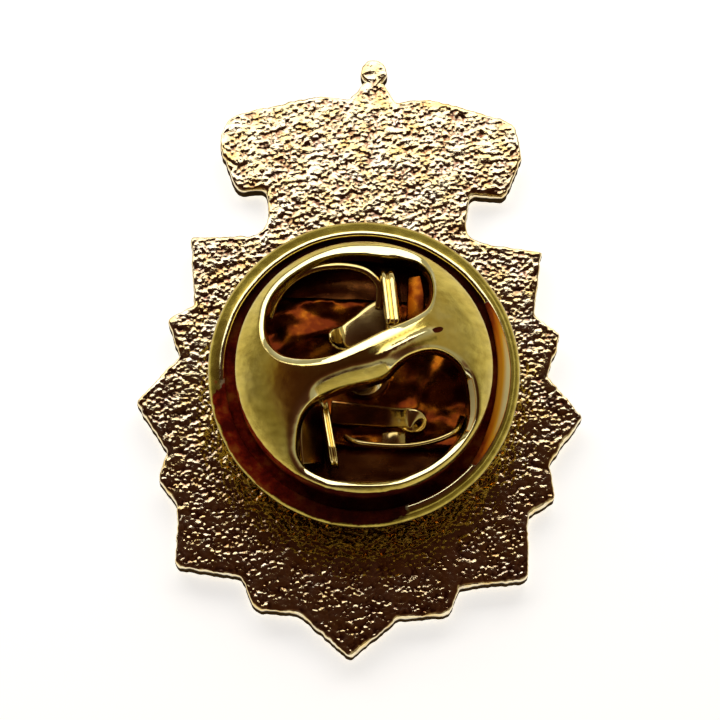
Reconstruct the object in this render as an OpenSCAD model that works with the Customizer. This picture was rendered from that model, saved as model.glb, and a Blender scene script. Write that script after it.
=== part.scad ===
// Lapel pin: a struck plate in the outline of a crown over a rayed star, with a soldered post and a domed
// spring clutch on it. It lies on its front, so +Z points out of the back, +Y to the crown's knob.
// Millimetres. The origin is under the middle of the outline, on the plane that the front's border rests on.

/* [Plate] */
// Thickness from the front's border to the back
plate_t = 1.3; // [1.0:0.1:2.0]
// Radius of the star's side tips
side_tip_r = 8.4; // [8.0:0.05:8.6]
// Radius of the star's bottom tip
bottom_tip_r = 9.5; // [9.2:0.05:9.8]
// Height of the crown's knob centre over the star's centre
knob_y = 12.95; // [12.7:0.05:13.0]
// Radius of the crown's knob
knob_r = 0.5; // [0.45:0.05:0.7]

/* [Front relief] */
// Width of the raised border
border_w = 0.5; // [0.4:0.05:0.6]
// Depth of the sunk field inside the border
field_depth = 0.35; // [0.2:0.05:0.5]
// How far the tops of the relief stay under the border
relief_drop = 0.06; // [0.02:0.02:0.1]
// Inner radius of the ring round the boss
ring_in_r = 3.5; // [3.3:0.1:3.7]
// Outer radius of the ring round the boss
ring_out_r = 4.1; // [4.0:0.1:4.4]
// Radius of the plain boss
boss_r = 3.25; // [2.8:0.05:3.25]

/* [Post] */
// Radius of the post
post_r = 0.6; // [0.55:0.01:0.62]
// Height of the clutch's centre over the star's centre
post_y = 0.6; // [0.5:0.05:1.0]

/* [Clutch] */
// Gap between the plate's back and the clutch
clutch_gap = 2.3; // [2.1:0.1:2.6]
// Outer radius of the clutch's rolled rim
rim_r = 5.75; // [5.7:0.05:5.8]
// Radius of the rim's roll
bead_r = 0.42; // [0.41:0.01:0.44]
// Thickness of the base and of the cap
sheet_t = 0.25; // [0.22:0.01:0.26]
// Height of the dome's top over the clutch's floor
dome_h = 4.0; // [3.9:0.05:4.1]
// Radius that the dome is pressed to
dome_r = 6.05; // [5.9:0.05:6.2]
// Outer radius of the cap's upright wall
cap_wall_r = 4.85; // [4.8:0.05:4.9]
// How deep the lips of the two openings are turned down
lip_depth = 0.75; // [0.5:0.05:0.9]
// Slope of the bridge between the openings, in degrees
bridge_angle = 21; // [18:1:24]

/* [Spring] */
// Thickness of the spring strip
spring_t = 0.22; // [0.2:0.01:0.22]
// Width of the strip on the clutch's floor
spring_w = 5.5; // [5.2:0.1:5.6]
// Distance from the post's axis to each upright arm
arm_x = 1.05; // [1.0:0.05:1.3]

/* [Hidden] */
gap = 0.05;
arc_fn = 96;
small_fn = 32;

plate_back = plate_t;
clutch_z = plate_back + clutch_gap;

// Points on an arc about [x, y], from angle a0 to a1 in n steps
function arc(x, y, r, a0, a1, n) =
    [for (i = [0:n]) [x + r * cos(a0 + (a1 - a0) * i / n), y + r * sin(a0 + (a1 - a0) * i / n)]];

// Right half of the outline, from the bottom tip round to the crown's knob, about the star's centre.
// The columns are x, y and how far the corner is rounded back along its sides.
half_outline = [
    [0, -bottom_tip_r, 0.2],
    [1.87, -7.87, 0.15],
    [3.63, -7.73, 0.35],
    [4.08, -6.59, 0.2],
    [6.55, -6.28, 0.3],
    [6.53, -3.92, 0.15],
    [7.43, -3.08, 0.25],
    [7.13, -1.88, 0.15],
    [side_tip_r, -0.08, 0.2],
    [6.87, 1.6, 0.15],
    [7.39, 3.11, 0.3],
    [6.38, 3.72, 0.15],
    [6.61, 6.25, 0.15],
    [3.6, 6.49, 1.1],
    [3.83, 8.27, 0.3],
    [5.05, 8.16, 0.35],
    [5.76, 9.98, 0.5],
    [5.35, 11.13, 0.5],
    [2.03, 12.0, 0.8],
    [0.89, 11.82, 0.1],
    [0.34, 12.56, 0.1]
];

function mirrored(half) =
    concat(half, [for (i = [len(half) - 1:-1:1]) [-half[i].x, half[i].y, half[i].z]]);

function flat(p) = [p.x, p.y];

// One corner as a curve from its own round-back on one side to that on the other
function soft_corner(before, corner, after, back) =
    let (
        a = flat(corner) + back * (flat(before) - flat(corner)) / norm(flat(before) - flat(corner)),
        b = flat(corner) + back * (flat(after) - flat(corner)) / norm(flat(after) - flat(corner))
    )
    [for (s = [0:0.25:1]) (1 - s) * (1 - s) * a + 2 * s * (1 - s) * flat(corner) + s * s * b];

function softened(loop) =
    let (n = len(loop))
    [for (i = [0:n - 1])
        for (p = soft_corner(loop[(i + n - 1) % n], loop[i], loop[(i + 1) % n], loop[i].z)) p];

outline_points = softened(mirrored(half_outline));

// Height of the middle of the whole outline over the star's centre
mid_y = (knob_y + knob_r + min([for (p = outline_points) p.y])) / 2;

module outline() {
    polygon(outline_points);
    translate([0, knob_y]) circle(r = knob_r, $fn = small_fn);
}

// The star's rays on the front, right half. The columns are direction in degrees and the radius of the end.
rays = [
    [-90, bottom_tip_r - 0.9],
    [-66, 7.75],
    [-44.5, 8.3],
    [-22.5, 7.25],
    [0, side_tip_r - 0.75],
    [22.5, 7.25],
    [44.5, 8.2],
    [67, 6.9],
    [90, 7.3]
];
ray_root_r = ring_out_r - 0.1;
ray_root_half_w = 0.62;
ray_wide_r = 5.7;
ray_wide_half_w = 0.92;
relief_z = relief_drop;
sunk_z = field_depth;
root_z = field_depth + 0.1;
boss_flat_r = 0.4;

// A ray with a ridge, like a roof that widens from the ring and then narrows to the tip
module ray(direction, end_r) {
    rotate(direction)
        polyhedron(
            points = [
                [ray_root_r, -ray_root_half_w, root_z],
                [ray_root_r, ray_root_half_w, root_z],
                [ray_wide_r, ray_wide_half_w, root_z],
                [end_r, 0, root_z],
                [ray_wide_r, -ray_wide_half_w, root_z],
                [ray_root_r, 0, relief_z],
                [ray_wide_r, 0, relief_z]
            ],
            faces = [
                [0, 1, 2, 3, 4],
                [0, 5, 1],
                [1, 5, 6],
                [1, 6, 2],
                [2, 6, 3],
                [3, 6, 4],
                [4, 6, 5],
                [4, 5, 0]
            ]
        );
}

module star_relief() {
    for (r = rays) {
        ray(r[0], r[1]);
        if (abs(r[0]) != 90) ray(180 - r[0], r[1]);
    }
    rotate_extrude($fn = arc_fn)
        polygon([
            [ring_in_r, root_z],
            [ring_in_r, relief_z + 0.1],
            [ring_in_r + 0.1, relief_z],
            [ring_out_r - 0.1, relief_z],
            [ring_out_r, relief_z + 0.1],
            [ring_out_r, root_z]
        ]);
    boss_rise = sunk_z - relief_z;
    boss_side = boss_r - boss_flat_r;
    boss_ball_r = (boss_side * boss_side + boss_rise * boss_rise) / (2 * boss_rise);
    rotate_extrude($fn = arc_fn)
        polygon(concat(
            [[0, root_z], [0, relief_z]],
            [for (i = [0:8]) let (x = boss_side * i / 8)
                [boss_flat_r + x, relief_z + boss_ball_r - sqrt(boss_ball_r * boss_ball_r - x * x)]],
            [[boss_r, root_z]]
        ));
}

band_y = 8.8;
band_h = 0.75;
band_half_w = 4.1;
arch_y = 9.35;
arch_x = 2.2;
arch_r = 1.85;
arch_w = 0.42;
stud_r = 0.2;

module raised(top_z) {
    translate([0, 0, top_z]) linear_extrude(root_z - top_z) children();
}

// The crown's band, its two arches and middle rib, and round studs on them, all plain
module crown_relief() {
    raised(relief_z + 0.08) translate([-band_half_w, band_y - band_h / 2]) square([2 * band_half_w, band_h]);
    for (side = [-1, 1])
        raised(relief_z + 0.08)
            translate([side * arch_x, arch_y])
                intersection() {
                    difference() {
                        circle(r = arch_r, $fn = arc_fn);
                        circle(r = arch_r - arch_w, $fn = arc_fn);
                    }
                    translate([-2 * arch_r, -0.3]) square([4 * arch_r, 2 * arch_r]);
                }
    raised(relief_z + 0.08) translate([-arch_w / 2, band_y]) square([arch_w, 2.6]);
    for (i = [-3:3])
        raised(relief_z) translate([i * 1.2, band_y]) circle(r = stud_r, $fn = small_fn);
    for (side = [-1, 1])
        for (a = [20:35:160])
            raised(relief_z)
                translate([
                    side * arch_x + (arch_r - arch_w / 2) * cos(a),
                    arch_y + (arch_r - arch_w / 2) * sin(a)
                ])
                    circle(r = stud_r * 0.8, $fn = small_fn);
}

solder_r = 1.25;
solder_h = 0.3;
groove_depth = 0.17;
tip_r = 0.12;
tip_h = 0.9;
post_end = clutch_gap + dome_h - sheet_t - 0.2;

// The post: a fillet of solder, a round shank, a groove that the spring bites in, and a blunt point
module post() {
    translate([0, post_y, plate_back])
        rotate_extrude($fn = arc_fn)
            polygon([
                [0, -0.2],
                [solder_r, -0.2],
                [solder_r, 0.02],
                [0.8, 0.12],
                [post_r, solder_h],
                [post_r, post_end - tip_h - 0.75],
                [post_r - groove_depth, post_end - tip_h - 0.6],
                [post_r - groove_depth, post_end - tip_h - 0.35],
                [post_r, post_end - tip_h - 0.2],
                [post_r, post_end - tip_h],
                [tip_r, post_end],
                [0, post_end]
            ]);
}

module badge_plate() {
    color("goldenrod")
        translate([0, -mid_y, 0]) {
            difference() {
                linear_extrude(plate_t) outline();
                translate([0, 0, -1]) linear_extrude(1 + field_depth) offset(delta = -border_w) outline();
            }
            star_relief();
            crown_relief();
            post();
        }
}

// Places a piece of the clutch, from its own floor and axis
module at_clutch() {
    translate([0, post_y - mid_y, clutch_z]) children();
}

hole_r = 0.75;
bead_x = rim_r - bead_r;
curl_end = 105;

// The base: a round floor with a hole for the post, its edge rolled up and in over the cap's flange
module clutch_base() {
    color("darkgoldenrod")
        at_clutch()
            rotate_extrude($fn = arc_fn)
                polygon(concat(
                    [[hole_r, 0]],
                    arc(bead_x, bead_r, bead_r, -90, curl_end, 20),
                    arc(bead_x, bead_r, bead_r - sheet_t, curl_end, -90, 16),
                    [[hole_r, sheet_t]]
                ));
}

shoulder_r = 0.5;
dome_z = dome_h - dome_r;
shoulder_x = cap_wall_r - shoulder_r;
shoulder_z = dome_z + sqrt(pow(dome_r - shoulder_r, 2) - pow(shoulder_x, 2));
shoulder_a = atan2(shoulder_z - dome_z, shoulder_x);
flange_t = 0.22;
flange_r = bead_x + gap;

// The cap's outer side when into is 0, and its inner side when into is the sheet's thickness
function dome_side(into) = concat(
    arc(shoulder_x, shoulder_z, shoulder_r - into, 0, shoulder_a, 5),
    arc(0, dome_z, dome_r - into, shoulder_a, 90, 24)
);

// The openings' outline: two round ends, joined by the straight bridge on one side and the rim on the other
end_low = [-2.45, 1.25, 1.45];
end_high = [1.15, 2.6, 1.3];
opening_r = 4.35;
rim_round = 0.7;
module bean(grow) {
    hull() {
        for (e = [end_low, end_high]) translate([e.x, e.y]) circle(r = e.z + grow, $fn = small_fn);
        for (a = [72:8.5:140])
            rotate(a) translate([opening_r - rim_round, 0]) circle(r = rim_round + grow, $fn = small_fn);
    }
}

// The turned-down lip of one opening
module lip() {
    intersection() {
        linear_extrude(dome_h)
            difference() {
                bean(sheet_t);
                bean(0);
            }
        rotate_extrude($fn = arc_fn)
            polygon(concat(
                arc(0, dome_z, dome_r - 0.05, shoulder_a, 90, 24),
                arc(0, dome_z - lip_depth, dome_r, 90, shoulder_a, 24)
            ));
    }
}

rib_r = 0.22;
rib_sweep = 32;

// The rib pressed up along the bridge
module rib() {
    rotate([90, 0, bridge_angle])
        translate([0, dome_z, 0])
            rotate(90 - rib_sweep)
                rotate_extrude(angle = 2 * rib_sweep, $fn = arc_fn)
                    translate([dome_r - 0.1, 0]) circle(r = rib_r, $fn = small_fn);
}

// The cap: a flange, an upright wall and a dome with two openings in half-turn symmetry
module clutch_cap() {
    color("gold")
        at_clutch() {
            difference() {
                rotate_extrude($fn = arc_fn)
                    polygon(concat(
                        [
                            [flange_r, bead_r - flange_t / 2],
                            [flange_r, bead_r + flange_t / 2],
                            [cap_wall_r, bead_r + flange_t / 2]
                        ],
                        dome_side(0),
                        [for (i = [29:-1:0]) dome_side(sheet_t)[i]],
                        [[cap_wall_r - sheet_t, bead_r - flange_t / 2]]
                    ));
                for (turn = [0, 180])
                    rotate(turn) translate([0, 0, 1]) linear_extrude(dome_h) bean(0);
            }
            for (turn = [0, 180]) rotate(turn) lip();
            rib();
        }
}

spring_end_r = 4.45;
spring_hole_r = 0.95;
arm_t = 0.55;
arm_low_y = 1.35;
arm_high_y = 3.65;
arm_top = 2.1;
tongue_z = 0.95;
tongue_in = post_r + 0.06;

// One arm of the spring, an upright fold of the strip, and the tongue that its foot carries to the post
module arm_and_tongue() {
    translate([arm_x - arm_t / 2, arm_low_y, spring_t / 2])
        cube([arm_t, arm_high_y - arm_low_y, arm_top - arm_t / 2 - spring_t / 2]);
    translate([arm_x, arm_low_y, arm_top - arm_t / 2])
        rotate([-90, 0, 0]) cylinder(r = arm_t / 2, h = arm_high_y - arm_low_y, $fn = small_fn);
    translate([0, 0, tongue_z])
        linear_extrude(spring_t)
            polygon([
                [arm_x, tongue_in],
                [arm_x, 2.85],
                [0.85, 2.65],
                [-0.7, 1.75],
                [-1.1, 1.65],
                [-1.25, 1.3],
                [-1.2, tongue_in]
            ]);
}

// The spring: a strip on the clutch's floor, its two arms and their tongues either side of the post
module clutch_spring() {
    color("khaki")
        at_clutch()
            translate([0, 0, sheet_t + gap]) {
                linear_extrude(spring_t)
                    difference() {
                        intersection() {
                            circle(r = spring_end_r, $fn = arc_fn);
                            square([2 * spring_end_r, spring_w], center = true);
                        }
                        circle(r = spring_hole_r, $fn = arc_fn);
                    }
                for (turn = [0, 180]) rotate(turn) arm_and_tongue();
            }
}

badge_plate();
clutch_base();
clutch_cap();
clutch_spring();
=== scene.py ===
import math

import bpy
import numpy as np
from mathutils import Matrix, Vector, kdtree, noise
from mathutils.geometry import delaunay_2d_cdt


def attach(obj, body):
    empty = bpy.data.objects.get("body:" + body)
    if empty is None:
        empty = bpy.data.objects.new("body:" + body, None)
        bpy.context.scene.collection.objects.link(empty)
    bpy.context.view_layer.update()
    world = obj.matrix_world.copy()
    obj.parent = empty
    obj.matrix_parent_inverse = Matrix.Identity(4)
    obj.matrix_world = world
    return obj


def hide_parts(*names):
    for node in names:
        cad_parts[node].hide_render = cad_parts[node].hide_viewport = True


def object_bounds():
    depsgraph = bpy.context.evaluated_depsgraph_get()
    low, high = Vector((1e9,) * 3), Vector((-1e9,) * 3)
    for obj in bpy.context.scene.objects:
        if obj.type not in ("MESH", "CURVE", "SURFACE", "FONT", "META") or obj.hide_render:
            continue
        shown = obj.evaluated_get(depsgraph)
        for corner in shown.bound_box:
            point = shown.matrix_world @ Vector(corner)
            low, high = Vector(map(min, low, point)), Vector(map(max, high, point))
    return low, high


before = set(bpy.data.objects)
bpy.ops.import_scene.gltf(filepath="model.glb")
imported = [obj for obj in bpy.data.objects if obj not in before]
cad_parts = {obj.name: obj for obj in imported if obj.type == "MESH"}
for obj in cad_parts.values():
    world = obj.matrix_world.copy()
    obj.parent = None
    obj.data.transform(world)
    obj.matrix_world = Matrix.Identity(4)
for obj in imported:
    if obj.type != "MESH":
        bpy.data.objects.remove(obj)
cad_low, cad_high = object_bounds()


# The struck plate: one piece of gilded brass in the outline of a crown over a rayed star. Its back keeps
# the die's pebbled skin, its trimmed edge is upright, and its front is a plain relief in a raised border.
# All sizes are in millimetres from the star's centre, and metal() makes the mesh in metres.
plate_t = 1.3
back_level = plate_t - 0.03
knob_y = 12.95
knob_r = 0.5
back_edge_r = 0.25
side_edge_r = 0.06
front_edge_r = 0.3
front_edge_z = front_edge_r * 0.9
border_w = 0.5
field_depth = 0.35
relief_drop = 0.06

# Corners from the bottom tip up: x and y on the right, x and y on the left, and how far each is rounded back.
outline_corners = [
    (0, -9.46, 0, -9.46, 0.2),
    (1.75, -7.9, 1.99, -7.85, 0.15),
    (3.64, -7.7, 3.62, -7.78, 0.35),
    (4.02, -6.62, 4.15, -6.56, 0.2),
    (6.5, -6.26, 6.6, -6.31, 0.25),
    (6.45, -3.83, 6.62, -4.0, 0.12),
    (7.45, -3.14, 7.4, -3.03, 0.2),
    (7.14, -1.82, 7.12, -1.95, 0.12),
    (8.34, -0.01, 8.39, -0.15, 0.15),
    (6.93, 1.52, 6.82, 1.68, 0.12),
    (7.42, 3.12, 7.35, 3.1, 0.25),
    (6.38, 3.8, 6.38, 3.64, 0.12),
    (6.6, 6.24, 6.62, 6.26, 0.12),
    (3.57, 6.56, 3.64, 6.43, 1.0),
    (3.82, 8.32, 3.84, 8.22, 0.3),
    (5.11, 8.25, 4.98, 8.08, 0.35),
    (5.78, 9.97, 5.76, 9.98, 0.5),
    (5.34, 11.23, 5.39, 11.04, 0.5),
    (2.05, 12.04, 2.01, 11.97, 0.7),
    (0.88, 11.8, 0.9, 11.85, 0.1),
    (0.34, 12.56, 0.34, 12.56, 0.08),
]


def lengths(vectors):
    return np.linalg.norm(vectors, axis=-1)


def clamped(values):
    return np.clip(values, 0, 1)


def soft_corner(before, corner, after, back):
    """A corner of the outline rounded off, from a point some way back to a point as far on."""
    before, corner, after = np.array(before), np.array(corner), np.array(after)
    a = corner + back * (before - corner) / np.linalg.norm(before - corner)
    b = corner + back * (after - corner) / np.linalg.norm(after - corner)
    s = np.linspace(0, 1, 7)[:, None]
    return (1 - s) ** 2 * a + 2 * s * (1 - s) * corner + s ** 2 * b


def evenly(loop, step):
    """The same closed loop with its points about one step apart."""
    closed = np.vstack([loop, loop[:1]])
    along = np.concatenate([[0], np.cumsum(lengths(np.diff(closed, axis=0)))])
    marks = np.linspace(0, along[-1], int(round(along[-1] / step)) + 1)[:-1]
    return np.column_stack([np.interp(marks, along, closed[:, i]) for i in range(closed.shape[1])])


def plate_outline():
    corners = [(x, y, back) for x, y, _, _, back in outline_corners]
    corners += [(-x, y, back) for _, _, x, y, back in outline_corners[:0:-1]]
    neck = len(outline_corners) - 1
    neck_y = corners[neck][1]
    neck_x = math.sqrt(knob_r ** 2 - (knob_y - neck_y) ** 2)
    drawn = []
    for i, (x, y, back) in enumerate(corners):
        before, after = corners[i - 1][:2], corners[(i + 1) % len(corners)][:2]
        if i == neck:
            after = (neck_x, y)
        if i == neck + 1:
            before = (-neck_x, y)
        drawn.append(soft_corner(before, (x, y), after, back))
        if i == neck:
            start = math.atan2(neck_y - knob_y, neck_x)
            turn = np.linspace(start, math.pi - start, 24)
            drawn.append(np.column_stack([knob_r * np.cos(turn), knob_y + knob_r * np.sin(turn)]))
    return evenly(np.vstack(drawn), 0.07)


outline = plate_outline()
star_y = cad_high[1] * 1000 - knob_y - knob_r
post_at = np.array([0.0, 0.6])


def nearest_on(loop, points):
    """For each point, the index of the loop's nearest point."""
    tree = kdtree.KDTree(len(loop))
    for i, p in enumerate(loop):
        tree.insert((p[0], p[1], 0), i)
    tree.balance()
    return np.array([tree.find((p[0], p[1], 0))[1] for p in points])


def edge_distance(points, loop):
    """How far each point is from a closed loop."""
    near = nearest_on(loop, points)
    best = np.full(len(points), 1e9)
    for side in (-1, 0):
        a, b = loop[(near + side) % len(loop)], loop[(near + side + 1) % len(loop)]
        t = clamped(((points - a) * (b - a)).sum(1) / ((b - a) ** 2).sum(1))
        best = np.minimum(best, lengths(points - a - t[:, None] * (b - a)))
    return best


def scattered(loop, step, clear, rng):
    """Points inside a loop, about one step apart, each moved a little at random."""
    rows = []
    a, b = loop, np.roll(loop, -1, axis=0)
    heights = np.arange(loop[:, 1].min() + step / 3, loop[:, 1].max(), step * 0.866)
    for row, y in enumerate(heights):
        cut = (a[:, 1] > y) != (b[:, 1] > y)
        xs = a[cut, 0] + (y - a[cut, 1]) / (b[cut, 1] - a[cut, 1]) * (b[cut, 0] - a[cut, 0])
        for left, right in np.sort(xs).reshape(-1, 2):
            x = np.arange(left + step * (0.25 + 0.5 * (row % 2)), right, step)
            rows.append(np.column_stack([x, np.full(len(x), y)]))
    points = np.vstack(rows)
    points = points[edge_distance(points, loop) > clear + 0.3 * step]
    return points + rng.uniform(-0.27 * step, 0.27 * step, points.shape)


def filled(loop, inner, closed_lines=(), open_lines=()):
    """Flat triangles inside a loop. The lines stay as edges, and the first points out are the loop's own."""
    coords, edges, total = [], [], 0
    for closed, lines in ((True, [loop, *closed_lines]), (False, open_lines)):
        for line in lines:
            edges += [(total + i, total + i + 1) for i in range(len(line) - 1)]
            if closed:
                edges.append((total + len(line) - 1, total))
            coords.append(line)
            total += len(line)
    coords = [Vector(p) for p in np.vstack(coords + [inner])]
    face = [list(range(len(loop)))]
    flat, _, faces, origin, _, _ = delaunay_2d_cdt(coords, edges, face, 1, 1e-7)
    made = {old: new for new, olds in enumerate(origin) for old in olds}
    first = [made[i] for i in range(len(loop))]
    used = sorted({v for f in faces for v in f} - set(first))
    order = {old: new for new, old in enumerate(first + used)}
    flat = np.array([flat[i][:] for i in first + used])
    faces = np.array([[order[v] for v in f] for f in faces])
    a, b, c = (flat[faces[:, i]] for i in range(3))
    ab, ac = b - a, c - a
    area = ab[:, 0] * ac[:, 1] - ab[:, 1] * ac[:, 0]
    faces[area < 0] = faces[area < 0][:, ::-1]
    return flat, faces[np.abs(area) > 1e-9]


def outward(loop):
    """Unit vectors that point out of a loop which runs anticlockwise."""
    along = np.roll(loop, -1, axis=0) - np.roll(loop, 1, axis=0)
    along /= lengths(along)[:, None]
    return np.column_stack([along[:, 1], -along[:, 0]])


def circle(centre, r, count, turned=0.0):
    a = np.arange(count) * 2 * math.pi / count + turned
    return np.column_stack([centre[0] + r * np.cos(a), centre[1] + r * np.sin(a)])


def turned(points, degrees):
    """Distances along and across a direction."""
    c, s = math.cos(math.radians(degrees)), math.sin(math.radians(degrees))
    return points[:, 0] * c + points[:, 1] * s, points[:, 1] * c - points[:, 0] * s


def bumps(points, long, short, slant, seed):
    """Smooth random height between -1 and 1, with bumps longer along one direction."""
    u, v = turned(points, slant)
    return np.array([noise.noise((a, b, seed)) for a, b in zip(u / long, v / short)])


def any_number(cells, seed):
    """A fixed random number between -1 and 1 for each cell."""
    value = np.sin(cells[:, 0] * 12.9898 + cells[:, 1] * 78.233 + seed * 37.719) * 43758.5453
    return 2 * (value - np.floor(value)) - 1


def die_skin(points):
    """Height of the back's pebbles, and how deep each point lies in the creases between them, from 0 to 1."""
    slant = 20
    long, short = 0.215, 0.165
    u, v = turned(points, slant)
    u = u / long + 0.4 * bumps(points, 0.5, 0.35, slant, 5.1)
    v = v / short + 0.4 * bumps(points, 0.5, 0.35, slant, 8.6)
    found = [noise.voronoi((a, b, 2.35)) for a, b in zip(u, v)]
    gaps = np.array([f[0][:2] for f in found])
    cells = np.array([f[1][0][:2] for f in found])
    kept = clamped(0.7 + 1.8 * bumps(points, 0.4, 0.28, slant, 17.3))
    crease = (1 - clamped((gaps[:, 1] - gaps[:, 0]) / 0.27)) ** 0.8 * kept
    lean = (u - cells[:, 0]) * long * any_number(cells, 1) + (v - cells[:, 1]) * short * any_number(cells, 2)
    lump = clamped(1 - gaps[:, 0] ** 2)
    broad = bumps(points, 0.8, 0.6, slant, 3.7)
    return 0.009 * broad + 0.083 * lean + 0.014 * lump - 0.022 * crease, crease


post_r = 0.6
post_h = 5.85
post_n = 64
solder_r = 1.25
solder_h = 0.3


def rounding_at(loop, places):
    """Radius of the back's edge: more where the trimming tool left it, on the edges towards the lower tip."""
    facing = outward(loop)[places, 1]
    uneven = clamped(0.5 + 1.6 * bumps(loop[places], 0.8, 0.8, 0, 11.0))
    return side_edge_r + (back_edge_r - side_edge_r) * uneven * np.interp(facing, [-0.75, -0.35], [1, 0])


def back_height(points, loop):
    """Height of the back, and how much painted shade darkens each point: by how deep it lies in a crease,
    and as a painted shadow on the plate below the clutch.
    """
    edge = edge_distance(points, loop)
    rounding_r = rounding_at(loop, nearest_on(loop, points))
    inset = clamped(1 - edge / rounding_r)
    rounding = rounding_r * (1 - np.sqrt(1 - inset ** 2))
    r = lengths(points - post_at)
    solder = np.interp(r, [post_r, 0.66, 0.8, 1.0, solder_r], [solder_h, 0.2, 0.11, 0.04, 0])
    skin, crease = die_skin(points)
    share = np.clip(edge / 0.12, 0.3, 1) * np.interp(r, [1.0, 1.6], [0.1, 1])
    # Painted shadow: the plate just below the clutch's lower side is darkened where the clutch shades it.
    painted_clutch_shadow = np.clip((7.1 - r) / 1.5, 0, 0.6) * clamped((-1.0 - points[:, 1]) / 2.5)
    return back_level + skin * share - rounding + solder, np.maximum(crease * share, painted_clutch_shadow)


rays = [
    (-90, 8.6), (-66, 7.75), (-44.5, 8.3), (-22.5, 7.25), (0, 7.6),
    (22.5, 7.25), (44.5, 8.2), (67, 6.9), (90, 7.3),
]
all_rays = rays + [(180 - a, r) for a, r in rays if abs(a) != 90]
ray_root_r = 4.0
ray_root_half_w = 0.62
ray_wide_r = 5.7
ray_wide_half_w = 0.92
root_z = field_depth + 0.1
boss_r = 3.25
boss_flat_r = 0.4
ring_marks = (3.5, 3.53, 3.6, 4.0, 4.07, 4.1)
ray_start_r = 4.12
ray_seen = 0.744
arch_r = 1.85
arch_w = 0.42
arch_at = (2.2, 9.35)
band = (4.1, 8.425, 9.175)


def ray_height(points, direction, end_r):
    """Height of one ray: a ridge that starts sharp, widens and then narrows and sinks to its end."""
    u, v = turned(points, direction)
    half_w = np.interp(u, [ray_root_r, ray_wide_r, end_r], [ray_root_half_w, ray_wide_half_w, 0.001])
    ridge = np.interp(u, [ray_wide_r, end_r], [relief_drop, root_z])
    height = ridge + (root_z - ridge) * clamped(np.abs(v) / half_w)
    height[(u < ray_root_r) | (u > end_r)] = root_z
    return height


def studs():
    across = [(i * 1.2, 8.8, 0.2) for i in range(-3, 4)]
    mid_r = arch_r - arch_w / 2
    for side in (-1, 1):
        for a in range(20, 165, 35):
            x = side * arch_at[0] + mid_r * math.cos(math.radians(a))
            across.append((x, arch_at[1] + mid_r * math.sin(math.radians(a)), 0.16))
    return across


def front_height(points, loop):
    """Height of the front's surface over the plane that the border rests on."""
    edge = edge_distance(points, loop)
    r = lengths(points)
    height = np.full(len(points), field_depth)
    for direction, end_r in all_rays:
        height = np.minimum(height, ray_height(points, direction, end_r))
    ring = np.interp(r, ring_marks, [field_depth, 0.16, 0.06, 0.06, 0.16, field_depth])
    rise = field_depth - relief_drop
    side = boss_r - boss_flat_r
    ball = (side ** 2 + rise ** 2) / (2 * rise)
    out = np.clip(r - boss_flat_r, 0, side)
    boss = relief_drop + ball - np.sqrt(ball ** 2 - out ** 2)
    height = np.minimum(height, np.where(r < ring_marks[-1], ring, field_depth))
    height = np.minimum(height, np.where(r < boss_r, boss, field_depth))
    x, y = np.abs(points[:, 0]), points[:, 1]
    top = relief_drop + 0.08
    from_band = np.maximum(x - band[0], np.maximum(band[1] - y, y - band[2]))
    from_rib = np.maximum(x - arch_w / 2, np.maximum(band[1] - y, y - (band[1] + 2.975)))
    from_arch = np.abs(np.hypot(x - arch_at[0], y - arch_at[1]) - arch_r + arch_w / 2) - arch_w / 2
    from_arch = np.maximum(from_arch, arch_at[1] - 0.3 - y)
    nearest = np.minimum(from_band, np.minimum(from_rib, from_arch))
    height = np.minimum(height, np.interp(nearest, [-0.08, 0, 0.03], [top, top + 0.04, field_depth]))
    for sx, sy, sr in studs():
        h = clamped(1 - ((points[:, 0] - sx) ** 2 + (y - sy) ** 2) / sr ** 2)
        height = np.where(h > 0, np.minimum(height, top + 0.02 - 0.1 * np.sqrt(h)), height)
    wall = np.interp(edge, [border_w - 0.03, border_w + 0.03], [0, 1])
    height = height * wall
    bottom = clamped(1 - edge / front_edge_r)
    return height + front_edge_z * (1 - np.sqrt(1 - bottom ** 2))


def front_lines():
    """The front's sharp lines, closed ones and open ones."""
    closed = [circle((0, 0), r, int(r * 40)) for r in (boss_r, *ring_marks)]
    for sx, sy, sr in studs():
        closed += [circle((sx, sy), sr, 20), circle((sx, sy), sr * 0.7, 12)]
    opened = []
    for off in (0, 0.03):
        wide, low, high = band[0] + off, band[1] - off, band[2] + off
        closed.append(evenly(np.array([(-wide, low), (wide, low), (wide, high), (-wide, high)]), 0.13))
        for side in (-1, 1):
            x = side * (arch_w / 2 + off)
            opened.append(np.column_stack([np.full(18, x), np.linspace(high + 0.02, band[1] + 2.97, 18)]))
            for r in (arch_r + off, arch_r - arch_w - off):
                start = math.asin((high + 0.02 - arch_at[1]) / r)
                turn = np.linspace(start, math.pi - start, int(r * 24))
                sweep = [side * arch_at[0] + r * np.cos(turn), arch_at[1] + r * np.sin(turn)]
                opened.append(np.column_stack(sweep))
    for direction, end_r in all_rays:
        a = math.radians(direction)
        turn = np.array([[math.cos(a), math.sin(a)], [-math.sin(a), math.cos(a)]])
        root, wide = ray_root_half_w * ray_seen + 0.02, ray_wide_half_w * ray_seen
        end = ray_wide_r + (end_r - ray_wide_r) * ray_seen
        for side in (0, -1, 1):
            line = np.array([(ray_start_r, side * root), (ray_wide_r, side * wide), (end, 0)])
            opened.append(line @ turn)
    return closed, opened


def placed(name, data):
    """A new object in the scene."""
    made = bpy.data.objects.new(name, data)
    bpy.context.scene.collection.objects.link(made)
    return made


def metal(name, points, faces):
    """A smooth mesh object, from points in millimetres about the star's centre."""
    points = np.asarray(points, float) * 0.001
    points[:, 1] += star_y * 0.001
    mesh = bpy.data.meshes.new(name)
    mesh.from_pydata(points, [], [tuple(int(v) for v in f) for f in faces])
    mesh.update()
    mesh.shade_smooth()
    return placed(name, mesh)


def mark_points(piece, name, values):
    """One number for each point of a mesh, for its material to read."""
    marks = piece.data.attributes.new(name, "FLOAT", "POINT")
    marks.data.foreach_set("value", np.asarray(values, np.float32))


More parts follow.
